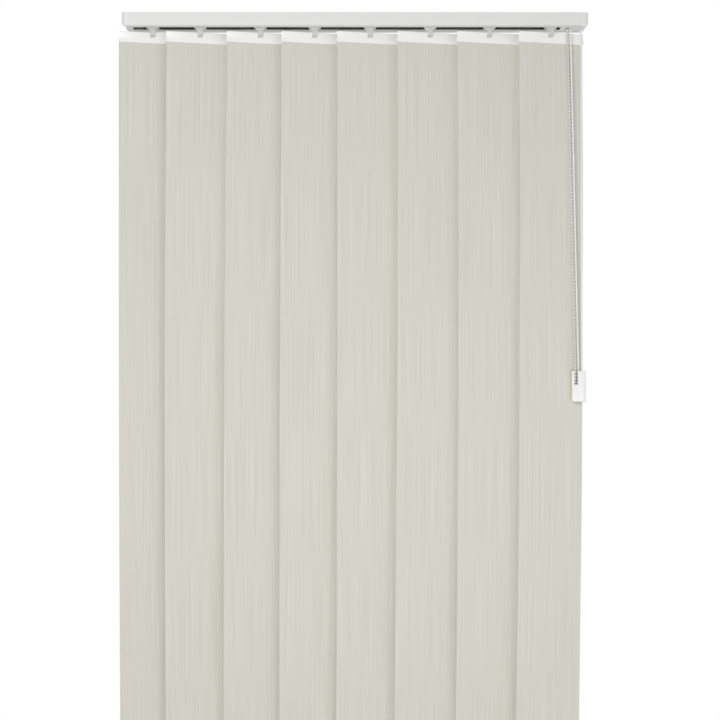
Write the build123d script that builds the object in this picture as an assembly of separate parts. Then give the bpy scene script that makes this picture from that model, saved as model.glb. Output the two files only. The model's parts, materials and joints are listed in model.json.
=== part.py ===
from build123d import *
import math
import os

os.makedirs("parts", exist_ok=True)

# Frame: X along the rail, Y from the front to the back, Z up, in millimetres.
# The origin is on the rail's top face, above the line that the slats turn about.

# Clearances that several pieces share
run_gap = 0.05
slide_gap = 0.15
end_gap = 0.2
fit_gap = 0.3
room_gap = 0.4
over = 0.5

# Head rail and its end caps
rail_half = 301.0
rail_front = -13.5
rail_back = 26.5
rail_height = 19.0
rail_wall = 1.2
rail_low_round = 3.2
rail_top_round = 1.0
slot_half = 9.5
cap_length = 8.0
cap_low_round = 7.0
cap_side_round = 6.0
cap_top_round = 0.8
cap_end_wall = 3.0
left_plug_length = 18.0
left_tongue_length = 5.7
left_notch_back = 16.5
left_notch_top = -14.2
right_plug_length = 28.0

# Slats and where they hang, as shares of the way from the first one to the last
slat_first_inset = 31.9
slat_last_inset = 40.6
slat_shares = (0.0, 0.1194, 0.2706, 0.407, 0.5458, 0.697, 0.8459, 1.0)
slat_turn = 14.0
slat_width = 89.0
cloth = 0.5
cloth_top = -33.7
slat_bottom = -1000.0
hem_height = 45.0
hem_slope = 4.0
pocket_gap = 1.7
plate_margin = 2.0
plate_height = 40.0
plate_thick = 1.6
plate_lift = 0.05

# Hangers
hanger_top = -24.4
hanger_step = -34.0
hanger_bottom = -38.5
hanger_margin = 0.5
hanger_ear = 0.8
hanger_thick = 1.6
hanger_corner = 1.5
window_half = 3.3
window_top = -27.1
window_bottom = -31.0
groove_wide = 0.6
groove_top = -33.4

# Tilt rod, worms and the gears on the hooks
hex_sides = 6
rod_y = 10.6
rod_z = -9.5
rod_radius = 3.0
rod_left_inset = 4.0
rod_right_inset = 11.0
rod_pass_gap = 0.6
rod_pass_sides = 6
worm_radius = 4.3
worm_sides = 12
worm_half = 4.9
teeth = 12
hook_gear_tip = 6.1
hook_gear_root = 5.0
hook_gear_half = 1.3

# Carriers
case_half = 8.0
case_front = -11.3
case_back = 16.3
case_top = -2.2
case_bottom = -17.7
case_chamfer = 2.0
case_corner = 1.5
case_toe = 1.2
neck_wide = 6.5
neck_deep = 6.0
neck_low = 4.2
neck_bottom = -21.2
pivot_radius = 2.4
pivot_bore_sides = 12
strip_front = -10.0
strip_back = -5.0
strip_thick = 0.3
strip_first = -3.3
strip_drop = 0.55
strip_length = 90.0
strip_root = 4.0
strip_tab = 7.4
strip_tab_grip = 1.0
strip_side_gap = 0.5
strip_slot_top = -3.0
strip_slot_bottom = -7.4
lug_half = 5.0
lug_back = 24.2
lug_top = -11.6
lug_bottom = -16.6
lug_slit = 0.5

# Hooks
fork_half = 3.65
fork_outer = 2.25
fork_inner = 0.85
fork_top = -21.5
fork_crotch = -24.35
front_prong_end = -28.0
back_prong_end = -30.6
barb_half = 2.9
barb_bottom = -28.5

# Draw cord and the cord inside the rail
cord_radius = 1.1
cord_sides = 5
cord_y = 21.0
cord_low = -14.1
cord_high = -4.9
cord_turn = 4.5
cord_left_inset = 14.4
cord_right_inset = 0.4
loop_gap = 0.04
return_inset = 10.0
return_flange = 5.6
return_groove = 3.4
return_half = 2.0
return_rim = 0.6
return_pin = 1.5
return_room_gap = 0.8

# Tilt chain and its wheel
chain_inset = 18.7
chain_out_y = 3.0
chain_pitch = 8.8
bead_radius = 1.6
link_radius = 0.45
bead_sides = 4
arc_steps = 24
wheel_sides = 12
wheel_pitch = 5.3
wheel_flange = 6.4
wheel_groove = 3.4
wheel_half = 2.2
wheel_rim = 0.4
drive_gear_inset = 24.4
drive_gear_length = 2.8
drive_gear_tip = 6.0
drive_gear_root = 4.5
tooth_tip_share = 0.1
tooth_root_share = 0.28
stub_radius = 2.0
stub_inset = 26.8
stub_length = 13.8
outlet_half_x = 1.9
outlet_half_y = 5.2

# Control weight, with the places of chain, cord and seam counted from its left side and its top
weight_inset = 13.0
weight_width = 18.6
weight_top = -474.1
weight_height = 41.3
weight_half = 5.4
weight_round = 2.6
weight_end_round = 1.2
chain_across = 5.3
chain_weight_y = 2.5
chain_pin_down = 13.2
chain_pin_radius = 0.8
chain_room_half = 2.1
chain_room_back = 4.4
chain_room_down = 18.0
loop_left_across = 9.5
loop_right_across = 14.0
loop_down = 12.45
loop_turn = 2.1
seam_across = 8.2
seam_half = 0.3
seam_deep = 0.4

# Places worked out from the sizes above
slat_first = slat_first_inset - rail_half
slat_last = rail_half - slat_last_inset
slat_centres = [slat_first + share * (slat_last - slat_first) for share in slat_shares]
rail_depth = rail_back - rail_front
rail_mid_y = (rail_front + rail_back) / 2
rail_mid_z = -rail_height / 2
rod_left = rod_left_inset - rail_half
rod_right = rail_half - rod_right_inset
cord_left_x = rail_half - cord_left_inset
cord_right_x = rail_half - cord_right_inset
return_x = return_inset - rail_half
chain_x = rail_half - chain_inset
drive_gear_left = rail_half - drive_gear_inset
stub_left = rail_half - stub_inset
weight_left = rail_half - weight_inset
cord_room = cord_radius + fit_gap


def block(low, high):
    """A box between two corners."""
    size = [b - a for a, b in zip(low, high)]
    middle = [(a + b) / 2 for a, b in zip(low, high)]
    return Pos(*middle) * Box(*size)


def along_x(outline, start, length, y=0.0, z=0.0):
    """An outline in the Y-Z plane, pulled along X."""
    return extrude(Plane.YZ.offset(start) * Pos(y, z) * outline, length)


def rod_along_x(radius, start, length, y, z):
    """A round bar along X."""
    return along_x(Circle(radius), start, length, y, z)


def rod_along_y(radius, start, end, x, z):
    """A round bar along Y."""
    bar = Cylinder(radius, end - start, rotation=(90, 0, 0))
    return Pos(x, (start + end) / 2, z) * bar


def rod_along_z(radius, bottom, top, x, y):
    """A round bar along Z."""
    return Pos(x, y, (bottom + top) / 2) * Cylinder(radius, top - bottom)


def swept(section, points, turn):
    """A section run through points, with rounded turns."""
    path = FilletPolyline(*points, radius=turn)
    return sweep(Plane(path @ 0, z_dir=path % 0) * section, path=path)


def grooved_wheel(flange, groove, half, rim):
    """A wheel with a square groove, its axis along Z and its rims many-sided."""
    wheel = extrude(RegularPolygon(groove, wheel_sides), half, both=True)
    side_rim = extrude(RegularPolygon(flange, wheel_sides), rim)
    return wheel + Pos(0, 0, -half) * side_rim + Pos(0, 0, half - rim) * side_rim


def gear_outline(tooth, turn=0.0):
    """A gear's outline; each point of the tooth is a radius and a share of one tooth's pitch."""
    step = math.tau / teeth
    points = []
    for k in range(teeth):
        for radius, share in tooth:
            angle = turn + (k + share) * step
            points.append((radius * math.cos(angle), radius * math.sin(angle)))
    return make_face(Polyline(*points, close=True))


def save(shape, node):
    export_step(shape, f"parts/{node}.step")


# Head rail: an extruded channel, open below between two lips
def rail_outline():
    outline = Rectangle(rail_depth, rail_height)
    outline = fillet(outline.vertices().group_by(Axis.Y)[0], rail_low_round)
    return fillet(outline.vertices().group_by(Axis.Y)[-1], rail_top_round)


inside = Rectangle(rail_depth - 2 * rail_wall, rail_height - 2 * rail_wall)
inside = fillet(inside.vertices().group_by(Axis.Y)[0], rail_low_round - rail_wall)
slot = Pos(-rail_mid_y, -rail_height / 2) * Rectangle(2 * slot_half, 2 * rail_wall + over)
head_rail = along_x(rail_outline() - inside - slot, -rail_half, 2 * rail_half, rail_mid_y, rail_mid_z)
save(head_rail, "head_rail")

# End plate of the right cap: the rail's section, rounded in the front view and in the top view
cap_mid = rail_half + cap_length / 2
front_view = Pos(cap_mid, rail_mid_z) * Rectangle(cap_length, rail_height)
front_view = fillet(front_view.vertices().group_by(Axis.Y)[0].sort_by(Axis.X)[-1], cap_low_round)
front_view = fillet(front_view.vertices().group_by(Axis.Y)[-1].sort_by(Axis.X)[-1], cap_top_round)
top_view = Pos(cap_mid, rail_mid_y) * Rectangle(cap_length, rail_depth)
top_view = fillet(top_view.vertices().group_by(Axis.X)[-1], cap_side_round)
end_plate = along_x(rail_outline(), rail_half, cap_length, rail_mid_y, rail_mid_z)
end_plate &= extrude(Plane.XZ.offset(-rail_back) * front_view, rail_depth)
end_plate &= extrude(Plane.XY.offset(-rail_height) * top_view, rail_height)

plug_front = rail_front + rail_wall + fit_gap
plug_back = rail_back - rail_wall - fit_gap
plug_top = -rail_wall - fit_gap
plug_low = rail_wall + fit_gap - rail_height
tongue_half = slot_half - fit_gap


def plug(start, length):
    """The block of a cap that fills the rail's inside."""
    outline = Rectangle(plug_back - plug_front, plug_top - plug_low)
    outline = fillet(outline.vertices().group_by(Axis.Y)[0], rail_low_round - rail_wall)
    return along_x(outline, start, length, (plug_front + plug_back) / 2, (plug_top + plug_low) / 2)


# Left end cap, its plug open below, with a bearing for the rod and the room and pin of the return pulley
left_plug_end = left_plug_length - rail_half
left_room_end = cap_end_wall - rail_half
return_room = return_half + fit_gap
return_room_high = return_flange + return_room_gap
left_end_cap = mirror(end_plate, about=Plane.YZ)
left_end_cap += plug(-rail_half - over, left_plug_length + over)
left_end_cap += block(
    (-rail_half - over, -tongue_half, -rail_height),
    (left_tongue_length - rail_half, tongue_half, plug_low + over),
)
left_end_cap -= block(
    (left_tongue_length - rail_half, -tongue_half, plug_low - over),
    (left_plug_end + over, left_notch_back, left_notch_top),
)
left_end_cap -= rod_along_x(rod_radius + run_gap, rod_left - over, left_plug_length, rod_y, rod_z)
left_end_cap -= block(
    (left_room_end, cord_y - return_room, rod_z - return_room_high),
    (left_plug_end + over, cord_y + return_room, rod_z + return_room_high),
)
left_end_cap += rod_along_y(
    return_pin, cord_y - return_room - over, cord_y + return_room + over, return_x, rod_z
)
left_end_cap -= block(
    (left_room_end, strip_front - strip_side_gap, strip_slot_bottom),
    (left_plug_end + over, strip_back + strip_side_gap, strip_slot_top),
)
save(left_end_cap, "left_end_cap")

# Control housing, with room for the chain wheel, its gears and the cord
right_plug_end = rail_half - right_plug_length
outlet_z = -rail_height
left_route = (
    (cord_left_x, 0, outlet_z),
    (cord_left_x, 0, cord_low),
    (cord_left_x, cord_y, cord_low),
)
right_route = (
    (cord_right_x, cord_y, cord_high),
    (cord_right_x, 0, cord_high),
    (cord_right_x, 0, outlet_z),
)
drive_room = drive_gear_tip + room_gap
wheel_room = wheel_flange + room_gap
wheel_room_half = wheel_half + fit_gap
control_housing = end_plate + plug(right_plug_end, right_plug_length + over)
control_housing += block(
    (right_plug_end, -tongue_half, -rail_height),
    (rail_half + over, tongue_half, plug_low + over),
)
control_housing -= rod_along_x(
    rod_radius + run_gap, right_plug_end - over, rod_right - right_plug_end + 2 * over, rod_y, rod_z
)
control_housing -= block(
    (drive_gear_left - room_gap, -drive_room, rod_z - drive_room),
    (drive_gear_left + drive_gear_length + room_gap, rod_y + drive_room, rod_z + drive_room),
)
control_housing -= block(
    (drive_gear_left + drive_gear_length, -wheel_room, rod_z - wheel_room),
    (chain_x + wheel_room_half, wheel_room, rod_z + wheel_room),
)
control_housing -= block(
    (chain_x - outlet_half_x, -outlet_half_y, outlet_z - over),
    (chain_x + outlet_half_x, outlet_half_y, rod_z - wheel_room + over),
)
control_housing -= rod_along_x(
    stub_radius + run_gap, stub_left - end_gap, stub_length + 2 * end_gap, 0, rod_z
)
cord_channel = Rectangle(2 * cord_room, 2 * cord_room)
left_channel = (
    (cord_left_x, 0, outlet_z - over),
    *left_route[1:],
    (right_plug_end - over, cord_y, cord_low),
)
right_channel = (
    (right_plug_end - over, cord_y, cord_high),
    *right_route[:-1],
    (cord_right_x, 0, outlet_z - over),
)
control_housing -= swept(cord_channel, left_channel, cord_turn)
control_housing -= swept(cord_channel, right_channel, cord_turn)
save(control_housing, "control_housing")

# Cord inside the rail, round the return pulley
cord_section = RegularPolygon(cord_radius, cord_sides)
return_far = return_x - (cord_high - cord_low) / 2
rail_route = (*left_route, (return_far, cord_y, cord_low), (return_far, cord_y, cord_high), *right_route)
save(swept(cord_section, rail_route, cord_turn), "rail_cord")

# Draw cord, hanging in a loop that runs under a bridge in the weight
loop_start = outlet_z - loop_gap
loop_bottom = weight_top - loop_down
loop = (
    (cord_left_x, 0, loop_start),
    (weight_left + loop_left_across, 0, loop_bottom),
    (weight_left + loop_right_across, 0, loop_bottom),
    (cord_right_x, 0, loop_start),
)
save(swept(cord_section, loop, loop_turn), "draw_cord")
print("rail cord: section radius", cord_radius, "mm, every turn", cord_turn, "mm")
print("draw cord: section radius", cord_radius, "mm, both turns under the bridge", loop_turn, "mm")

# Return pulley
return_pulley = grooved_wheel(return_flange, return_groove, return_half, return_rim)
return_pulley -= rod_along_z(return_pin + run_gap, -return_half - over, return_half + over, 0, 0)
save(Pos(return_x, cord_y, rod_z) * Rot(90, 0, 0) * return_pulley, "return_pulley")

# Tilt rod and its gear
rod_section = RegularPolygon(rod_radius, hex_sides)
save(along_x(rod_section, rod_left, rod_right - rod_left, rod_y, rod_z), "tilt_rod")
drive_tooth = (
    (drive_gear_root, -tooth_root_share),
    (drive_gear_tip, -tooth_tip_share),
    (drive_gear_tip, tooth_tip_share),
    (drive_gear_root, tooth_root_share),
)
rod_gear_outline = gear_outline(drive_tooth) - rod_section
save(along_x(rod_gear_outline, drive_gear_left, drive_gear_length, rod_y, rod_z), "rod_gear")

# Chain wheel: a grooved wheel and a gear on one shaft, the gear half a tooth on from the rod's
chain_wheel = Rot(0, 90, 0) * grooved_wheel(wheel_flange, wheel_groove, wheel_half, wheel_rim)
chain_wheel = Pos(chain_x, 0, rod_z) * chain_wheel
wheel_gear_outline = gear_outline(drive_tooth, math.pi / teeth)
chain_wheel += along_x(wheel_gear_outline, drive_gear_left, drive_gear_length, 0, rod_z)
chain_wheel += rod_along_x(stub_radius, stub_left, stub_length, 0, rod_z)
save(chain_wheel, "chain_wheel")

# Tilt chain: beads on a fine link, over the wheel and under a pin in the weight
chain_weight_x = weight_left + chain_across
chain_pin_z = weight_top - chain_pin_down


def arc(x, radius, z, start, end):
    """Points on an arc in the Y-Z plane, its centre on the slats' line."""
    turns = [start + (end - start) * k / arc_steps for k in range(arc_steps + 1)]
    return [(x, radius * math.cos(turn), z + radius * math.sin(turn)) for turn in turns]


rise = rod_z - outlet_z
reach = math.hypot(rise, chain_out_y)
leave = math.pi * 3 / 2 - math.acos(wheel_pitch / reach) - math.atan2(chain_out_y, rise)
front_arc = arc(chain_x, wheel_pitch, rod_z, math.pi / 2, leave)
pin_arc = arc(chain_weight_x, chain_weight_y, chain_pin_z, math.pi, math.tau)
back_arc = [(x, -y, z) for x, y, z in reversed(front_arc)]
front_outlet = (chain_x, -chain_out_y, outlet_z)
back_outlet = (chain_x, chain_out_y, outlet_z)
route_points = [*front_arc, front_outlet, *pin_arc, back_outlet, *back_arc]
chain_route = [Vector(*point) for point in route_points]
route_marks = [0.0]
for before, after in zip(chain_route, chain_route[1:]):
    route_marks.append(route_marks[-1] + (after - before).length)


def chain_ring(distance, radius):
    """Corners of the chain's section, so far along its route."""
    k = 0
    while k < len(chain_route) - 2 and route_marks[k + 1] < distance:
        k += 1
    way = (chain_route[k + 1] - chain_route[k]).normalized()
    middle = chain_route[k] + way * (distance - route_marks[k])
    side = (Vector(1, 0, 0) - way * way.X).normalized()
    cross = way.cross(side)
    turns = [math.tau * (j + 1 / 2) / bead_sides for j in range(bead_sides)]
    return [middle + side * (radius * math.cos(t)) + cross * (radius * math.sin(t)) for t in turns]


bead_count = round(route_marks[-1] / chain_pitch)
bead_step = route_marks[-1] / bead_count
rings = [chain_ring(0, link_radius)]
for k in range(bead_count):
    rings.append(chain_ring((k + 1 / 2) * bead_step, bead_radius))
    rings.append(chain_ring((k + 1) * bead_step, link_radius))
chain_faces = [Face(Wire.make_polygon(ring)) for ring in (rings[0], rings[-1])]
for ring, following in zip(rings, rings[1:]):
    for j in range(bead_sides):
        chain_faces.append(Face(Wire.make_polygon([ring[j], ring[j - 1], following[j]])))
        chain_faces.append(Face(Wire.make_polygon([ring[j - 1], following[j - 1], following[j]])))
save(Solid(Shell(chain_faces)), "tilt_chain")

# Control weight
control_weight = block(
    (weight_left, -weight_half, weight_top - weight_height),
    (weight_left + weight_width, weight_half, weight_top),
)
control_weight = fillet(control_weight.edges().filter_by(Axis.Z), weight_round)
control_weight = chamfer(control_weight.faces().sort_by(Axis.Z)[0].edges(), weight_end_round)
control_weight -= block(
    (chain_weight_x - chain_room_half, -weight_half - over, weight_top - chain_room_down),
    (chain_weight_x + chain_room_half, chain_room_back, weight_top + over),
)
control_weight += rod_along_x(
    chain_pin_radius, chain_weight_x - chain_room_half - over, 2 * (chain_room_half + over), 0, chain_pin_z
)
control_weight -= swept(cord_channel, loop, loop_turn)
control_weight -= block(
    (weight_left + seam_across - seam_half, -weight_half - over, weight_top - weight_height - over),
    (weight_left + seam_across + seam_half, seam_deep - weight_half, weight_top - chain_room_down),
)
save(control_weight, "control_weight")


# Carrier: a moulded case that slides in the rail, its neck in the slot
def neck_face(upper_half, lower_half):
    """The neck's outline in one view, narrowing from the case down to the hook."""
    return make_face(Polyline(
        (-upper_half, case_bottom),
        (-lower_half, neck_bottom),
        (lower_half, neck_bottom),
        (upper_half, case_bottom),
        close=True,
    ))


case_shape = Polyline(
    (case_front + case_chamfer, case_top),
    (case_back - case_chamfer, case_top),
    (case_back, case_top - case_chamfer),
    (case_back, case_bottom),
    (case_front + case_toe, case_bottom),
    (case_front, case_bottom + case_toe),
    (case_front, case_top - case_chamfer),
    close=True,
)
case = along_x(make_face(case_shape), -case_half, 2 * case_half)
case = chamfer(case.edges().filter_by(Axis.Z), case_corner)
neck = extrude(Plane.XZ.offset(-neck_deep) * neck_face(neck_wide, neck_low), 2 * neck_deep)
neck &= along_x(neck_face(neck_deep, neck_low), -neck_wide, 2 * neck_wide)
case += neck
worm_room = worm_radius + room_gap
worm_room_half = worm_half + end_gap
gear_room = hook_gear_tip + room_gap
gear_floor = rod_z - hook_gear_half - run_gap
case -= block(
    (-worm_room_half, rod_y - worm_room, rod_z - worm_room),
    (worm_room_half, rod_y + worm_room, rod_z + worm_room),
)
case -= block((-gear_room, -gear_room, gear_floor), (gear_room, gear_room, rod_z + hook_gear_half + end_gap))
rod_pass = RegularPolygon(rod_radius + rod_pass_gap, rod_pass_sides)
case -= along_x(rod_pass, -case_half - over, 2 * (case_half + over), rod_y, rod_z)
pivot_bore = RegularPolygon(pivot_radius + run_gap, pivot_bore_sides, major_radius=False)
case -= extrude(Plane((0, 0, neck_bottom - over)) * pivot_bore, gear_floor - neck_bottom + 2 * over)
case -= block(
    (-case_half - over, strip_front - strip_side_gap, strip_slot_bottom),
    (case_half + over, strip_back + strip_side_gap, strip_slot_top),
)

# Clamp on the lead carrier, round the lower run of the rail cord
lug = block((-lug_half, case_back - over, lug_bottom), (lug_half, lug_back, lug_top))
lug -= along_x(cord_channel, -lug_half - over, 2 * (lug_half + over), cord_y, cord_low)
lug -= block(
    (-lug_half - over, cord_y, cord_low - lug_slit),
    (lug_half + over, lug_back + over, cord_low + lug_slit),
)

for i, x in enumerate(slat_centres):
    carrier = case + lug
    if i > 0:
        level = strip_first - (i - 1) * strip_drop
        carrier = case + block(
            (-strip_length, strip_front, level - strip_thick),
            (strip_tab, strip_back, level),
        )
        carrier += block(
            (strip_root, strip_front - strip_tab_grip, level - strip_thick),
            (strip_tab, strip_back + strip_tab_grip, level),
        )
    save(Pos(x, 0, 0) * carrier, f"carrier_{i + 1}")

# Drive worm, sliding on the rod
worm_outline = RegularPolygon(worm_radius, worm_sides) - RegularPolygon(rod_radius + slide_gap, hex_sides)
worm = along_x(worm_outline, -worm_half, 2 * worm_half, rod_y, rod_z)

# Hook: gear, pivot and a fork with a barb for the hanger's window
hook_tooth = ((hook_gear_tip, 0), (hook_gear_root, 1 / 2))
hook = extrude(Plane((0, 0, rod_z - hook_gear_half)) * gear_outline(hook_tooth), 2 * hook_gear_half)
hook += rod_along_z(pivot_radius, fork_top - over, rod_z, 0, 0)
hook += block((-fork_half, -fork_outer, back_prong_end), (fork_half, fork_outer, fork_top))
hook -= block(
    (-fork_half - over, -fork_inner, back_prong_end - over),
    (fork_half + over, fork_inner, fork_crotch),
)
hook -= block(
    (-fork_half - over, -fork_outer - over, back_prong_end - over),
    (fork_half + over, 0, front_prong_end),
)
hook += block((-barb_half, -fork_inner, barb_bottom), (barb_half, fork_inner + over, window_top))

# Hanger: a moulded strip with a window for the hook and a groove for the cloth
hanger_half = slat_width / 2 + hanger_margin
hanger_wide = hanger_half + hanger_ear
hanger_shape = Polyline(
    (-hanger_half, hanger_top),
    (-hanger_half, hanger_step),
    (-hanger_wide, hanger_step),
    (-hanger_wide, hanger_bottom),
    (hanger_wide, hanger_bottom),
    (hanger_wide, hanger_step),
    (hanger_half, hanger_step),
    (hanger_half, hanger_top),
    close=True,
)
hanger_face = make_face(hanger_shape)
hanger_face = chamfer(hanger_face.vertices().group_by(Axis.Y)[-1], hanger_corner)
hanger = extrude(Plane.XZ.offset(-hanger_thick / 2) * hanger_face, hanger_thick)
hanger -= block(
    (-window_half, -hanger_thick, window_bottom),
    (window_half, hanger_thick, window_top),
)
hanger -= block(
    (-slat_width / 2, -groove_wide / 2, hanger_bottom - over),
    (slat_width / 2, groove_wide / 2, groove_top),
)

# Slat: a strip of cloth, its lower end folded back into a hem
hem_top = slat_bottom + hem_height
cloth_front = -cloth / 2
cloth_back = cloth / 2
hem_inner = cloth_back + pocket_gap
hem_outer = hem_inner + cloth
slat_shape = Polyline(
    (cloth_front, cloth_top),
    (cloth_front, slat_bottom),
    (hem_outer, slat_bottom),
    (hem_outer, hem_top - hem_slope),
    (cloth_back, hem_top),
    (cloth_back, cloth_top),
    close=True,
)
pocket_shape = Polyline(
    (cloth_back, slat_bottom + cloth),
    (hem_inner, slat_bottom + cloth),
    (hem_inner, hem_top - hem_slope),
    (cloth_back, hem_top - cloth),
    close=True,
)
slat_outline = make_face(slat_shape) - make_face(pocket_shape)
slat = along_x(slat_outline, -slat_width / 2, slat_width)

# Bottom weight, lying in the hem
plate_half = slat_width / 2 - plate_margin
plate_front = cloth_back + (pocket_gap - plate_thick) / 2
plate_low = slat_bottom + cloth + plate_lift
bottom_weight = block(
    (-plate_half, plate_front, plate_low),
    (plate_half, plate_front + plate_thick, plate_low + plate_height),
)

for i, x in enumerate(slat_centres):
    place = Pos(x, 0, 0) * Rot(0, 0, slat_turn)
    save(Pos(x, 0, 0) * worm, f"drive_worm_{i + 1}")
    save(place * hook, f"hook_{i + 1}")
    save(place * hanger, f"hanger_{i + 1}")
    save(place * slat, f"slat_{i + 1}")
    save(place * bottom_weight, f"bottom_weight_{i + 1}")
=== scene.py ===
import json
import math

import bmesh
import bpy
from mathutils import Matrix, Vector


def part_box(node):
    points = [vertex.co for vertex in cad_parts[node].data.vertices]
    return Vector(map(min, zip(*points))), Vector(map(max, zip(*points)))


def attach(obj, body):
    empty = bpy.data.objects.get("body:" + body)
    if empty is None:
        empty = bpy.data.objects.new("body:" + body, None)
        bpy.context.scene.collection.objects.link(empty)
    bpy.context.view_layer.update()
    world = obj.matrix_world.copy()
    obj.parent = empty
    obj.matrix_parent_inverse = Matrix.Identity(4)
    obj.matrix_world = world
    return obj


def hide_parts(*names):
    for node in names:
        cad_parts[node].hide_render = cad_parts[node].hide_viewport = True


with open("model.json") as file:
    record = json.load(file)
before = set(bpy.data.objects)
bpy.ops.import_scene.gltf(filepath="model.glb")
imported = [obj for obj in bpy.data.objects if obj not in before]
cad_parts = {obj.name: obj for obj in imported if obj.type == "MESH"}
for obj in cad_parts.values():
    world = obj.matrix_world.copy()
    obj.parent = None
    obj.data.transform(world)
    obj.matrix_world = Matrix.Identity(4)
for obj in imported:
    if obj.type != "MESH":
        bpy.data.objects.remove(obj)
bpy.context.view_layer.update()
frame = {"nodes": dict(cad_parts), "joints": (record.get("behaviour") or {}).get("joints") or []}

nodes = frame["nodes"]


# Head rail
# A slim channel of extruded aluminium, open below along a slot that the stems of the carriers pass through.
# It is powder coated white, which leaves a satin skin with a very fine orange peel.
def linear(hex_colour):
    """The linear colour, with full alpha, of an sRGB hex value."""
    channels = [int(hex_colour[k:k + 2], 16) / 255 for k in (1, 3, 5)]
    return [c / 12.92 if c <= 0.04045 else ((c + 0.055) / 1.055) ** 2.4 for c in channels] + [1.0]


def add_node(material, kind, sockets, **settings):
    """Adds a node with its settings. A socket gets a value, or a link where an output of a node is given."""
    node = material.node_tree.nodes.new(kind)
    for name, value in settings.items():
        setattr(node, name, value)
    for name, value in sockets.items():
        if isinstance(value, bpy.types.NodeSocket):
            material.node_tree.links.new(value, node.inputs[name])
        else:
            node.inputs[name].default_value = value
    return node


def blank_material(name):
    """A new material with no nodes yet."""
    material = bpy.data.materials.new(name)
    material.use_nodes = True
    material.node_tree.nodes.clear()
    return material


def finish_material(material, sockets):
    """Closes a material with its one shader."""
    shader = add_node(material, "ShaderNodeBsdfPrincipled", sockets)
    add_node(material, "ShaderNodeOutputMaterial", {"Surface": shader.outputs["BSDF"]})


# Powder coat flows out to a satin skin, and what is left of the grains shows only in its highlights. The
# inside of the rail's hollow is coloured a dark grey, which is painted shade for the dark slot under the
# rail.
peel_size = 0.003
# Middle of the rail's section, and half the width and height of its hollow
rail_middle = (0.0065, -0.0095)
inside_half = (0.0194, 0.00835)
powder_coat = blank_material("powder_coated_aluminium")
place = add_node(powder_coat, "ShaderNodeTexCoord", {})
peel = add_node(powder_coat, "ShaderNodeTexNoise",
                {"Vector": place.outputs["Object"], "Scale": 1 / peel_size, "Detail": 2.0})
skin = add_node(powder_coat, "ShaderNodeBump",
                {"Height": peel.outputs["Fac"], "Strength": 0.08, "Distance": 0.0003})
where = add_node(powder_coat, "ShaderNodeSeparateXYZ", {"Vector": place.outputs["Object"]})
within = []
for axis, middle, half in zip("YZ", rail_middle, inside_half):
    offset = add_node(powder_coat, "ShaderNodeMath", {0: where.outputs[axis], 1: middle},
                      operation="SUBTRACT")
    reach = add_node(powder_coat, "ShaderNodeMath", {0: offset.outputs["Value"]}, operation="ABSOLUTE")
    within.append(add_node(powder_coat, "ShaderNodeMath", {0: reach.outputs["Value"], 1: half},
                           operation="LESS_THAN"))
# Painted shade: a mask of the rail's hollow, where the colour turns dark grey
painted_slot_shade = add_node(powder_coat, "ShaderNodeMath",
                {0: within[0].outputs["Value"], 1: within[1].outputs["Value"]}, operation="MULTIPLY")
tone = add_node(powder_coat, "ShaderNodeValToRGB", {"Fac": painted_slot_shade.outputs["Value"]})
tone.color_ramp.interpolation = "CONSTANT"
tone.color_ramp.elements[0].color = linear("#DFDFDE")
tone.color_ramp.elements[1].position = 0.5
# The dark grey is painted shade inside the rail's hollow
tone.color_ramp.elements[1].color = linear("#6C6D6E")
finish_material(powder_coat, {
    "Base Color": tone.outputs["Color"],
    "Roughness": 0.45,
    "IOR": 1.5,
    "Normal": skin.outputs["Normal"],
})
nodes["head_rail"].material_slots[0].material = powder_coat


# End cap and control housing
# Two white mouldings close the rail, each with a plug that is pressed into its end.
# They are satin ABS, with the fine grain of a spark-eroded mould.
grain_size = 0.0012
moulded_abs = blank_material("moulded_abs")
place = add_node(moulded_abs, "ShaderNodeTexCoord", {})
grain = add_node(moulded_abs, "ShaderNodeTexNoise",
                 {"Vector": place.outputs["Object"], "Scale": 1 / grain_size, "Detail": 3.0})
skin = add_node(moulded_abs, "ShaderNodeBump",
                {"Height": grain.outputs["Fac"], "Strength": 0.1, "Distance": 0.0002})
finish_material(moulded_abs, {
    "Base Color": linear("#E2E2E1"),
    "Roughness": 0.4,
    "IOR": 1.54,
    "Normal": skin.outputs["Normal"],
})
for name in ("left_end_cap", "control_housing"):
    nodes[name].material_slots[0].material = moulded_abs


# Tilt rod
# A drawn six-sided aluminium rod that runs the length of the rail and turns the worm in every carrier.
# It has a mill finish, with drawing lines along it.
drawn_line_width = 0.0004
drawn_line_length = 0.06
mill_aluminium = blank_material("mill_finish_aluminium")
place = add_node(mill_aluminium, "ShaderNodeTexCoord", {})
stretch = add_node(mill_aluminium, "ShaderNodeMapping", {
    "Vector": place.outputs["Object"],
    "Scale": (1 / drawn_line_length, 1 / drawn_line_width, 1 / drawn_line_width),
})
lines = add_node(mill_aluminium, "ShaderNodeTexNoise", {"Vector": stretch.outputs["Vector"], "Scale": 1.0})
skin = add_node(mill_aluminium, "ShaderNodeBump",
                {"Height": lines.outputs["Fac"], "Strength": 0.2, "Distance": 0.0001})
finish_material(mill_aluminium, {
    "Base Color": linear("#C8C9CB"),
    "Metallic": 1.0,
    "Roughness": 0.38,
    "Normal": skin.outputs["Normal"],
})
nodes["tilt_rod"].material_slots[0].material = mill_aluminium


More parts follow.
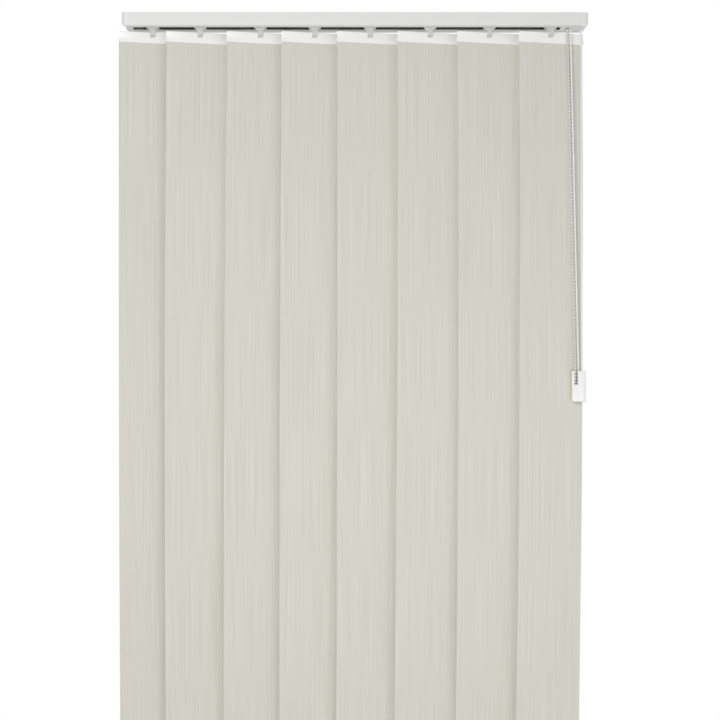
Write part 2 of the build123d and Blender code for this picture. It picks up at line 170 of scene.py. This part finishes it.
# Gears, worms, chain wheel and return pulley
# The small running parts inside the rail and the control housing, each moulded in one piece.
# They are natural nylon, a cream white that is slightly clouded.
cloud_size = 0.006
natural_nylon = blank_material("natural_nylon")
place = add_node(natural_nylon, "ShaderNodeTexCoord", {})
cloud = add_node(natural_nylon, "ShaderNodeTexNoise",
                 {"Vector": place.outputs["Object"], "Scale": 1 / cloud_size, "Detail": 2.0})
tone = add_node(natural_nylon, "ShaderNodeValToRGB", {"Fac": cloud.outputs["Fac"]})
tone.color_ramp.elements[0].color = linear("#D8D4C6")
tone.color_ramp.elements[1].color = linear("#E6E3D8")
finish_material(natural_nylon, {"Base Color": tone.outputs["Color"], "Roughness": 0.45, "IOR": 1.53})
for name in ("rod_gear", "chain_wheel", "return_pulley"):
    nodes[name].material_slots[0].material = natural_nylon


# Carriers and hooks
# Each carrier slides in the rail and holds a hook that turns in its stem, with a fork that clips the hanger.
# Both are light grey acetal, moulded smooth so that they slide well.
slat_count = 8
smear_size = 0.004
grey_acetal = blank_material("grey_acetal")
place = add_node(grey_acetal, "ShaderNodeTexCoord", {})
smear = add_node(grey_acetal, "ShaderNodeTexNoise",
                 {"Vector": place.outputs["Object"], "Scale": 1 / smear_size})
tone = add_node(grey_acetal, "ShaderNodeValToRGB", {"Fac": smear.outputs["Fac"]})
tone.color_ramp.elements[0].color = linear("#CFCFCE")
tone.color_ramp.elements[1].color = linear("#D9D9D8")
finish_material(grey_acetal, {"Base Color": tone.outputs["Color"], "Roughness": 0.32, "IOR": 1.48})
for number in range(1, slat_count + 1):
    nodes[f"carrier_{number}"].material_slots[0].material = grey_acetal
    nodes[f"hook_{number}"].material_slots[0].material = grey_acetal
    nodes[f"drive_worm_{number}"].material_slots[0].material = natural_nylon


# Hangers
# A flat white plate of moulded plastic holds the top of each slat in a groove along its lower edge.
# It is clipped on the hook's fork at the window in its middle, and is a little wider below its step.
hanger_half = 0.0450
hanger_ear = 0.0008
hanger_top = -0.0244
hanger_step = -0.0340
hanger_bottom = -0.0385
hanger_thick = 0.0016
hanger_corner = 0.0012
hanger_edge = 0.00025
window_half = 0.0033
window_top = -0.0271
window_bottom = -0.0310
groove_wide = 0.0006
groove_top = -0.0334
slat_turn = math.radians(14.0)
smooth_angle = math.radians(35.0)
facing_down = -0.9
axis_x = {
    joint["child"]: joint["pos_m"][0]
    for joint in frame["joints"]
    if joint["child"].startswith("vane_")
}


def stand_at(number):
    """The place of a slat: turned on its own axis under the rail."""
    return Matrix.Translation((axis_x[f"vane_{number}"], 0.0, 0.0)) @ Matrix.Rotation(slat_turn, 4, "Z")


def select_faces(piece, wanted):
    """In edit mode, selects the faces whose middle and normal pass the test."""
    shape = bmesh.from_edit_mesh(piece.data)
    for face in shape.faces:
        face.select_set(wanted(face.calc_center_median(), face.normal))
    bmesh.update_edit_mesh(piece.data)


def select_edges(piece, wanted):
    """In edit mode, selects the edges whose two ends pass the test."""
    shape = bmesh.from_edit_mesh(piece.data)
    for edge in shape.edges:
        edge.select_set(wanted(edge.verts[0].co, edge.verts[1].co))
    bmesh.update_edit_mesh(piece.data)


def apply_modifier(piece, kind, **settings):
    """Adds a modifier to the active piece and applies it."""
    modifier = piece.modifiers.new(kind, kind)
    for name, value in settings.items():
        setattr(modifier, name, value)
    bpy.ops.object.modifier_apply(modifier=modifier.name)


bpy.ops.object.select_all(action="DESELECT")
bpy.ops.mesh.primitive_plane_add(size=1.0)
hanger = bpy.context.object
hanger_high = hanger_top - hanger_bottom
bpy.ops.object.mode_set(mode="EDIT")
bpy.ops.transform.resize(value=(2 * (hanger_half + hanger_ear), hanger_high, 1.0))
bpy.ops.transform.rotate(value=math.pi / 2, orient_axis="X", center_override=(0.0, 0.0, 0.0))
bpy.ops.transform.translate(value=(0.0, 0.0, (hanger_top + hanger_bottom) / 2))
for line_x in (-hanger_half, -window_half, window_half, hanger_half):
    bpy.ops.mesh.select_all(action="SELECT")
    bpy.ops.mesh.bisect(plane_co=(line_x, 0.0, 0.0), plane_no=(1.0, 0.0, 0.0))
for line_z in (window_top, hanger_step, window_bottom):
    bpy.ops.mesh.select_all(action="SELECT")
    bpy.ops.mesh.bisect(plane_co=(0.0, 0.0, line_z), plane_no=(0.0, 0.0, 1.0))


def is_cut_away(middle, normal):
    """True for the window and for the two corners above the step."""
    in_window = abs(middle.x) < window_half and window_bottom < middle.z < window_top
    above_ear = abs(middle.x) > hanger_half and middle.z > hanger_step
    return in_window or above_ear


select_faces(hanger, is_cut_away)
bpy.ops.mesh.delete(type="FACE")
bpy.ops.object.mode_set(mode="OBJECT")
apply_modifier(hanger, "SOLIDIFY", thickness=hanger_thick, offset=0.0)
bpy.ops.object.mode_set(mode="EDIT")
bpy.ops.mesh.select_all(action="SELECT")
bpy.ops.mesh.normals_make_consistent(inside=False)


def is_corner(start, end):
    """True for the short edges through the plate at its four outer corners."""
    through = abs(start.y - end.y) > hanger_thick / 2
    at_top = min(start.z, end.z) > hanger_top - hanger_edge
    at_foot = max(start.z, end.z) < hanger_bottom + hanger_edge
    top_corner = at_top and abs(start.x) > hanger_half - hanger_edge
    low_corner = at_foot and abs(start.x) > hanger_half + hanger_edge
    return through and (top_corner or low_corner)


bpy.ops.mesh.select_mode(type="EDGE")
select_edges(hanger, is_corner)
bpy.ops.mesh.bevel(offset=hanger_corner, segments=4, affect="EDGES")
bpy.ops.mesh.select_mode(type="FACE")


def is_lower_edge(middle, normal):
    """True for the long face that the groove is let into."""
    return normal.z < facing_down and middle.z < hanger_bottom + hanger_edge


select_faces(hanger, is_lower_edge)
bpy.ops.mesh.inset(thickness=(hanger_thick - groove_wide) / 2)
bpy.ops.mesh.extrude_region_move(TRANSFORM_OT_translate={"value": (0.0, 0.0, groove_top - hanger_bottom)})
bpy.ops.object.mode_set(mode="OBJECT")
apply_modifier(hanger, "BEVEL", width=hanger_edge, segments=2, limit_method="ANGLE")
bpy.ops.object.shade_smooth_by_angle(angle=smooth_angle)

# Polystyrene from a smooth mould: a clear white with a soft gloss, wavy where the melt has flowed.
white_styrene = blank_material("white_polystyrene")
place = add_node(white_styrene, "ShaderNodeTexCoord", {})
flow = add_node(white_styrene, "ShaderNodeTexNoise",
                {"Vector": place.outputs["Object"], "Scale": 1 / cloud_size})
skin = add_node(white_styrene, "ShaderNodeBump",
                {"Height": flow.outputs["Fac"], "Strength": 0.1, "Distance": 0.0003})
finish_material(white_styrene, {
    "Base Color": linear("#F4F4F2"),
    "Roughness": 0.3,
    "IOR": 1.59,
    "Normal": skin.outputs["Normal"],
})
hanger.data.materials.append(white_styrene)
for number in range(1, slat_count + 1):
    plate = bpy.data.objects.new(f"hanger_plate_{number}", hanger.data.copy())
    bpy.context.collection.objects.link(plate)
    plate.data.transform(stand_at(number))
    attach(plate, f"vane_{number}")
    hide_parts(f"hanger_{number}")
bpy.data.objects.remove(hanger)


# Slats
# Strips of stiffened woven cloth, each let into its hanger and turned up behind to a hem at its foot.
# No strip hangs quite straight, and each ripples a little between its ends.
slat_half = 0.0445
cloth_thick = 0.00045
cloth_top = -0.0337
cloth_bottom = -1.0
hem_high = 0.045
hem_slope = 0.004
hem_end_share = 1.2
pocket_wide = 0.0022
ripple_depth = 0.0005
ripple_length = 0.42
cloth_smooth_angle = math.radians(40.0)
columns = 25
front_rows = 71
fold_rows = 6
# How far each strip has wandered sideways half way down and near its foot, in metres
sway_mid = (0.0, -0.0028, -0.0040, -0.0027, -0.0004, -0.0012, 0.0011, 0.0004)
sway_low = (0.0016, -0.0013, -0.0048, -0.0033, -0.0016, -0.0045, -0.0021, -0.0041)
share_mid = 0.47
share_low = 0.915


def sway(number, z):
    """The sideways shift of a strip at a height, on a curve through its two values."""
    share = (cloth_top - z) / (cloth_top - cloth_bottom)
    rise = sway_mid[number - 1] / share_mid
    bend = (sway_low[number - 1] / share_low - rise) / (share_low - share_mid)
    return share * (rise + bend * (share - share_mid))


def ripple(number, z):
    """How far a strip stands out of its plane at a height. It is flat in the hanger and at the hem."""
    share = (cloth_top - z) / (cloth_top - cloth_bottom)
    fade = math.sin(math.pi * min(max(share, 0.0), 1.0))
    return ripple_depth * fade * math.sin(2 * math.pi * z / ripple_length + number)


fold_radius = pocket_wide / 2
fold_z = cloth_bottom + cloth_thick / 2 + fold_radius
section = []
for row in range(front_rows):
    section.append((0.0, cloth_top + (fold_z - cloth_top) * row / (front_rows - 1)))
for row in range(1, fold_rows + 1):
    angle = math.pi * row / fold_rows
    section.append((fold_radius * (1 - math.cos(angle)), fold_z - fold_radius * math.sin(angle)))
section.append((pocket_wide, cloth_bottom + hem_high / 2))
section.append((pocket_wide, cloth_bottom + hem_high - hem_slope))
section.append((cloth_thick * hem_end_share, cloth_bottom + hem_high))
path_length = [0.0]
for before, after in zip(section, section[1:]):
    path_length.append(path_length[-1] + math.dist(before, after))

# Polyester yarn with slubs: fine upright dashes, a touch lighter or darker than the ground. The threads
# are a third of a millimetre apart, and are drawn at three times that so that they show. A wave texture
# turns by 20 radians for each unit of its scale.
dash_width = 0.0022
dash_length = 0.17
thread_pitch = 0.001
wave_turn = 20.0
thread_scale = 2 * math.pi / wave_turn / thread_pitch
cloth = blank_material("woven_polyester_cloth")
place = add_node(cloth, "ShaderNodeUVMap", {}, uv_map="cloth_metres")
dashes = add_node(cloth, "ShaderNodeMapping",
                  {"Vector": place.outputs["UV"], "Scale": (1 / dash_width, 1 / dash_length, 1.0)})
slub = add_node(cloth, "ShaderNodeTexNoise",
                {"Vector": dashes.outputs["Vector"], "Scale": 1.0, "Detail": 1.0, "Roughness": 0.4})
tone = add_node(cloth, "ShaderNodeValToRGB", {"Fac": slub.outputs["Fac"]})
tone.color_ramp.elements[0].position = 0.25
tone.color_ramp.elements[0].color = linear("#D1D0C6")
tone.color_ramp.elements[1].position = 0.75
tone.color_ramp.elements[1].color = linear("#DBDAD1")
warp = add_node(cloth, "ShaderNodeTexWave",
                {"Vector": place.outputs["UV"], "Scale": thread_scale, "Distortion": 0.6},
                bands_direction="X")
weft = add_node(cloth, "ShaderNodeTexWave",
                {"Vector": place.outputs["UV"], "Scale": thread_scale, "Distortion": 0.6},
                bands_direction="Y")
weave = add_node(cloth, "ShaderNodeMath", {0: warp.outputs["Fac"], 1: weft.outputs["Fac"]}, operation="ADD")
skin = add_node(cloth, "ShaderNodeBump",
                {"Height": weave.outputs["Value"], "Strength": 0.15, "Distance": 0.0002})
finish_material(cloth, {
    "Base Color": tone.outputs["Color"],
    "Roughness": 0.85,
    "IOR": 1.45,
    "Sheen Weight": 0.15,
    "Sheen Roughness": 0.5,
    "Normal": skin.outputs["Normal"],
})


def select_only(piece):
    """Selects one piece and makes it the active one."""
    bpy.ops.object.select_all(action="DESELECT")
    piece.select_set(True)
    bpy.context.view_layer.objects.active = piece


# Each strip is cut from its own stretch of the cloth, so its pattern starts a metre further on
for number in range(1, slat_count + 1):
    corners = []
    metres = []
    for (depth, z), run in zip(section, path_length):
        for column in range(columns):
            across = slat_half * (2 * column / (columns - 1) - 1)
            corners.append((across + sway(number, z), depth + ripple(number, z), z))
            metres.append((across + number, run))
    quads = []
    for row in range(len(section) - 1):
        for column in range(columns - 1):
            first = row * columns + column
            quads.append((first, first + columns, first + columns + 1, first + 1))
    strip_mesh = bpy.data.meshes.new(f"cloth_strip_{number}")
    strip_mesh.from_pydata(corners, [], quads)
    cloth_uv = strip_mesh.uv_layers.new(name="cloth_metres")
    for loop in strip_mesh.loops:
        cloth_uv.data[loop.index].uv = metres[loop.vertex_index]
    strip_mesh.transform(stand_at(number))
    strip = bpy.data.objects.new(f"cloth_strip_{number}", strip_mesh)
    bpy.context.collection.objects.link(strip)
    select_only(strip)
    apply_modifier(strip, "SOLIDIFY", thickness=cloth_thick, offset=0.0)
    bpy.ops.object.shade_smooth_by_angle(angle=cloth_smooth_angle)
    strip.data.materials.append(cloth)
    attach(strip, f"vane_{number}")
    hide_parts(f"slat_{number}")


# Bottom weights
# A flat bar of plain steel lies in the pocket of each hem and keeps the strip straight.
# It is sheared from strip, and its edges are rounded so that it slides in without snagging.
bar_edge = 0.0004
bar_side_gap = 0.002
bar_low, bar_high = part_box("bottom_weight_1")
bar_thick = 0.0016
# Cold-rolled steel: a dull grey metal, in places a little smoother from the rolls.
strip_steel = blank_material("plain_strip_steel")
place = add_node(strip_steel, "ShaderNodeTexCoord", {})
rolled = add_node(strip_steel, "ShaderNodeTexNoise",
                  {"Vector": place.outputs["Object"], "Scale": 1 / smear_size, "Detail": 3.0})
dulled = add_node(strip_steel, "ShaderNodeMapRange",
                  {"Value": rolled.outputs["Fac"], "To Min": 0.32, "To Max": 0.5})
finish_material(strip_steel, {
    "Base Color": linear("#A2A4A6"),
    "Metallic": 1.0,
    "Roughness": dulled.outputs["Result"],
})
bpy.ops.object.select_all(action="DESELECT")
bpy.ops.mesh.primitive_cube_add(size=1.0)
bar = bpy.context.object
bpy.ops.object.mode_set(mode="EDIT")
bpy.ops.transform.resize(value=(2 * (slat_half - bar_side_gap), bar_thick, bar_high.z - bar_low.z))
bpy.ops.transform.translate(value=(0.0, pocket_wide / 2, (bar_high.z + bar_low.z) / 2))
bpy.ops.mesh.bevel(offset=bar_edge, segments=3, affect="EDGES")
bpy.ops.object.mode_set(mode="OBJECT")
bpy.ops.object.shade_smooth_by_angle(angle=smooth_angle)
bar.data.materials.append(strip_steel)
for number in range(1, slat_count + 1):
    hem_bar = bpy.data.objects.new(f"hem_bar_{number}", bar.data.copy())
    bpy.context.collection.objects.link(hem_bar)
    shift = Matrix.Translation((sway(number, bar_low.z), 0.0, 0.0))
    hem_bar.data.transform(stand_at(number) @ shift)
    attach(hem_bar, f"vane_{number}")
    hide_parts(f"bottom_weight_{number}")
bpy.data.objects.remove(bar)


# Control weight
# A white moulding that hangs in the loops of cord and chain and keeps both straight. The chain turns in
# a slot that is open at the front, and the two halves of the moulding meet at a fine upright seam.
weight_low, weight_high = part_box("control_weight")
weight_foot = 0.0034
weight_round = 0.0024
slot_left = 0.2912
slot_right = 0.2954
slot_floor = -0.4939
slot_back = 0.0044
seam_x = 0.2962
seam_wide = 0.0006
seam_deep = 0.0005
cord_hole = 0.0014
cord_hole_x = (0.2972, 0.3019)
cord_hole_deep = 0.014
small_edge = 0.0003
slot_cutter_length = 0.05


def corner_box(low, high):
    """A box between two corners."""
    bpy.ops.object.select_all(action="DESELECT")
    bpy.ops.mesh.primitive_cube_add(size=1.0)
    box = bpy.context.object
    bpy.ops.object.mode_set(mode="EDIT")
    bpy.ops.transform.resize(value=[b - a for a, b in zip(low, high)])
    bpy.ops.transform.translate(value=[(a + b) / 2 for a, b in zip(low, high)])
    bpy.ops.object.mode_set(mode="OBJECT")
    return box


def round_rod(radius, length, middle, turn):
    """A round rod with its middle at a point."""
    bpy.ops.object.select_all(action="DESELECT")
    bpy.ops.mesh.primitive_cylinder_add(vertices=24, radius=radius, depth=length, location=middle,
                                        rotation=turn)
    rod = bpy.context.object
    bpy.ops.object.transform_apply(location=True, rotation=True, scale=True)
    return rod


def cut(piece, cutter):
    """Cuts one shape out of a piece and removes the cutter."""
    select_only(piece)
    apply_modifier(piece, "BOOLEAN", operation="DIFFERENCE", object=cutter, solver="EXACT")
    bpy.data.objects.remove(cutter)


def is_foot_corner(start, end):
    """True for the two edges that run from front to back along the foot."""
    return abs(start.y - end.y) > weight_round and max(start.z, end.z) < weight_low.z + small_edge


def is_face_rim(start, end):
    """True for the rims of the front and the back, apart from their upper edge."""
    on_face = any(max(abs(start.y - y), abs(end.y - y)) < small_edge for y in (weight_low.y, weight_high.y))
    return on_face and min(start.z, end.z) < weight_high.z - small_edge


weight = corner_box(weight_low, weight_high)
weight.name = "weight_body"
bpy.ops.object.mode_set(mode="EDIT")
bpy.ops.mesh.select_mode(type="EDGE")
select_edges(weight, is_foot_corner)
bpy.ops.mesh.bevel(offset=weight_foot, segments=6, affect="EDGES")
select_edges(weight, is_face_rim)
bpy.ops.mesh.bevel(offset=weight_round, segments=5, affect="EDGES")
bpy.ops.object.mode_set(mode="OBJECT")
slot_cut = corner_box((slot_left, weight_low.y - weight_round, slot_floor),
                      (slot_right, slot_back, weight_high.z + weight_round))
slot_half = (slot_right - slot_left) / 2
slot_foot = (slot_left + slot_half, 0.0, slot_floor)
cut(slot_cut, round_rod(slot_half, slot_cutter_length, slot_foot, (math.pi / 2, 0.0, 0.0)))
cut(weight, slot_cut)
cut(weight, corner_box((seam_x - seam_wide / 2, weight_low.y - seam_deep, weight_low.z - seam_deep),
                       (seam_x + seam_wide / 2, weight_low.y + seam_deep, weight_high.z + seam_deep)))
for hole_x in cord_hole_x:
    cut(weight, round_rod(cord_hole, 2 * cord_hole_deep, (hole_x, 0.0, weight_high.z), (0.0, 0.0, 0.0)))
select_only(weight)
bpy.ops.object.shade_smooth_by_angle(angle=smooth_angle)

# ABS from a polished mould: a white gloss with faint flow marks.
gloss_abs = blank_material("gloss_abs")
place = add_node(gloss_abs, "ShaderNodeTexCoord", {})
flow = add_node(gloss_abs, "ShaderNodeTexNoise", {"Vector": place.outputs["Object"], "Scale": 1 / cloud_size})
skin = add_node(gloss_abs, "ShaderNodeBump",
                {"Height": flow.outputs["Fac"], "Strength": 0.06, "Distance": 0.0003})
finish_material(gloss_abs, {
    "Base Color": linear("#EBEBE9"),
    "Roughness": 0.28,
    "IOR": 1.54,
    "Normal": skin.outputs["Normal"],
})
weight.data.materials.append(gloss_abs)
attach(weight, "rail")
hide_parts("control_weight")


# Draw cord
# A loop of white braided cord that draws the slats aside. Both strands leave the control housing and hang
# straight to the weight. The cord that runs inside the rail is the same stuff.
cord_radius = 0.0011
cord_route = (
    (0.2866, 0.0, -0.01904),
    (0.2972, 0.0, -0.4733),
    (0.2975, 0.0, -0.48655),
    (0.3020, 0.0, -0.48655),
    (0.30196, 0.0, -0.4733),
    (0.3006, 0.0, -0.01904),
)


def route_curve(name, route, radius):
    """A smooth open line with the route's points as its control points, and a round section."""
    line = bpy.data.curves.new(name, "CURVE")
    line.dimensions = "3D"
    run = line.splines.new("NURBS")
    run.points.add(len(route) - 1)
    for point, where in zip(run.points, route):
        point.co = (*where, 1.0)
    run.order_u = 3
    run.use_endpoint_u = True
    run.resolution_u = 24
    line.bevel_depth = radius
    line.bevel_resolution = 3
    line.use_fill_caps = radius > 0
    piece = bpy.data.objects.new(name, line)
    bpy.context.collection.objects.link(piece)
    return piece


# Braided polyester: the strands cross at a slant, and show as a fine ribbing round the cord. On the
# diagonal a wave texture turns half as fast.
braid_pitch = 0.002
diagonal_turn = wave_turn / 2
braid_scale = 2 * math.pi / diagonal_turn / braid_pitch
polyester_braid = blank_material("braided_polyester")
place = add_node(polyester_braid, "ShaderNodeTexCoord", {})
rib = add_node(polyester_braid, "ShaderNodeTexWave",
               {"Vector": place.outputs["Object"], "Scale": braid_scale, "Distortion": 1.5},
               bands_direction="DIAGONAL")
tone = add_node(polyester_braid, "ShaderNodeValToRGB", {"Fac": rib.outputs["Fac"]})
tone.color_ramp.elements[0].color = linear("#E6E6E4")
tone.color_ramp.elements[1].color = linear("#F3F3F1")
skin = add_node(polyester_braid, "ShaderNodeBump",
                {"Height": rib.outputs["Fac"], "Strength": 0.3, "Distance": 0.0002})
finish_material(polyester_braid, {
    "Base Color": tone.outputs["Color"],
    "Roughness": 0.7,
    "Sheen Weight": 0.2,
    "Normal": skin.outputs["Normal"],
})
nodes["rail_cord"].material_slots[0].material = polyester_braid
cord = route_curve("draw_cord_loop", cord_route, cord_radius)
cord.data.materials.append(polyester_braid)
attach(cord, "rail")
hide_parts("draw_cord")


# Tilt chain
# An endless chain of white acetal beads moulded on a fine cord, which turns the slats by the chain wheel.
# Its two strands hang a little apart and turn round a pin in the weight.
bead_radius = 0.0016
bead_pitch = 0.0045
link_radius = 0.0005
chain_route = (
    (0.2823, -0.0030, -0.0190),
    (0.2926, -0.0025, -0.4683),
    (0.2933, -0.0025, -0.4898),
    (0.2933, 0.0025, -0.4898),
    (0.2938, 0.0025, -0.4683),
    (0.2925, 0.0027, -0.3300),
    (0.2875, 0.0029, -0.1400),
    (0.2826, 0.0030, -0.0330),
    (0.2823, 0.0030, -0.0190),
)
links = route_curve("chain_links", chain_route, link_radius)
guide = route_curve("chain_guide", chain_route, 0.0)
guide_mesh = bpy.data.meshes.new_from_object(guide)
chain_line = [vertex.co.copy() for vertex in guide_mesh.vertices]
links_mesh = bpy.data.meshes.new_from_object(links)
bpy.data.objects.remove(guide)
bpy.data.objects.remove(links)
bpy.ops.object.select_all(action="DESELECT")
bpy.ops.mesh.primitive_ico_sphere_add(subdivisions=2, radius=bead_radius)
bead = bpy.context.object
beads = bmesh.new()
beads.from_mesh(links_mesh)
walked = 0.0
next_bead = bead_pitch / 2
for start, end in zip(chain_line, chain_line[1:]):
    step = (end - start).length
    while next_bead <= walked + step:
        first_new = len(beads.verts)
        beads.from_mesh(bead.data)
        beads.verts.ensure_lookup_table()
        spot = start.lerp(end, (next_bead - walked) / step)
        bmesh.ops.translate(beads, vec=spot, verts=beads.verts[first_new:])
        next_bead += bead_pitch
    walked += step
chain_mesh = bpy.data.meshes.new("bead_chain")
beads.to_mesh(chain_mesh)
beads.free()
bpy.data.objects.remove(bead)
chain = bpy.data.objects.new("bead_chain", chain_mesh)
bpy.context.collection.objects.link(chain)
for face in chain_mesh.polygons:
    face.use_smooth = True
# Acetal: a waxy white, slightly uneven from bead to bead.
white_acetal = blank_material("white_acetal")
place = add_node(white_acetal, "ShaderNodeTexCoord", {})
flow = add_node(white_acetal, "ShaderNodeTexNoise",
                {"Vector": place.outputs["Object"], "Scale": 1 / bead_pitch})
tone = add_node(white_acetal, "ShaderNodeValToRGB", {"Fac": flow.outputs["Fac"]})
tone.color_ramp.elements[0].color = linear("#D2D2D0")
tone.color_ramp.elements[1].color = linear("#DCDCDA")
finish_material(white_acetal, {"Base Color": tone.outputs["Color"], "Roughness": 0.3, "IOR": 1.48})
chain.data.materials.append(white_acetal)
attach(chain, "rail")
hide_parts("tilt_chain")


# Floor
# A plain pale floor well below the slats, which takes the shadow and is out of the front view.
floor_z = -1.1
floor_wide = 2.6
floor_deep = 2.1
floor_forward = 0.45
bpy.ops.object.select_all(action="DESELECT")
bpy.ops.mesh.primitive_plane_add(size=1.0)
floor = bpy.context.object
floor.name = "floor"
bpy.ops.object.mode_set(mode="EDIT")
bpy.ops.transform.resize(value=(floor_wide, floor_deep, 1.0))
bpy.ops.transform.translate(value=(0.0, -floor_forward, floor_z))
bpy.ops.object.mode_set(mode="OBJECT")
pale_floor = blank_material("pale_floor")
finish_material(pale_floor, {"Base Color": linear("#CECECC"), "Roughness": 0.8})
floor.data.materials.append(pale_floor)


# Light
# White surroundings, seen as they are by the camera and in reflections, and dimmer as light on the blind.
# A large soft lamp stands in front at the left, as high as the rail, and a wide low one fills from below.
# A third lamp behind shows the back of the slats and their hems, and a weak one lights the right end.
ambient = 0.4
world = bpy.data.worlds.new("white_room")
bpy.context.scene.world = world
world.use_nodes = True
world.node_tree.nodes.clear()
ray = add_node(world, "ShaderNodeLightPath", {})
seen = add_node(world, "ShaderNodeMath",
                {0: ray.outputs["Is Camera Ray"], 1: ray.outputs["Is Glossy Ray"]}, operation="MAXIMUM")
shown = add_node(world, "ShaderNodeMath",
                 {0: seen.outputs["Value"], 1: ray.outputs["Is Transmission Ray"]}, operation="MAXIMUM")
level = add_node(world, "ShaderNodeMapRange",
                 {"Value": shown.outputs["Value"], "To Min": ambient, "To Max": 1.0})
sky = add_node(world, "ShaderNodeBackground",
               {"Color": linear("#FFFFFF"), "Strength": level.outputs["Result"]})
add_node(world, "ShaderNodeOutputWorld", {"Surface": sky.outputs["Background"]})


def soft_lamp(name, place, target, width, height, power):
    """A soft lamp that faces a point."""
    light = bpy.data.lights.new(name, "AREA")
    light.shape = "RECTANGLE"
    light.energy = power
    light.size = width
    light.size_y = height
    lamp = bpy.data.objects.new(name, light)
    lamp.location = place
    lamp.rotation_euler = (Vector(target) - Vector(place)).to_track_quat("-Z", "Y").to_euler()
    bpy.context.collection.objects.link(lamp)


slat_middle = (0.0, 0.0, -0.45)
soft_lamp("key_lamp", (-0.75, -2.55, 0.15), slat_middle, width=1.2, height=0.8, power=30.0)
soft_lamp("front_lamp", (0.35, -1.05, -0.73), (0.35, 0.0, -0.50), width=1.2, height=0.2, power=3.2)
soft_lamp("back_lamp", (-1.1, 2.3, 0.3), slat_middle, width=1.2, height=0.8, power=20.0)
soft_lamp("side_lamp", (1.6, 0.5, -0.1), slat_middle, width=0.8, height=1.2, power=5.0)


# Camera
# Level with the middle of the slats and square to the rail, two metres in front of it.
camera_data = bpy.data.cameras.new("front_camera")
camera_data.lens = 75.19
camera_data.sensor_width = 36.0
camera = bpy.data.objects.new("front_camera", camera_data)
camera.location = (0.00665, -2.0, -0.4595)
camera.rotation_euler = (math.pi / 2, 0.0, 0.0)
bpy.context.collection.objects.link(camera)
bpy.context.scene.camera = camera
bpy.context.scene.view_settings.view_transform = "Standard"
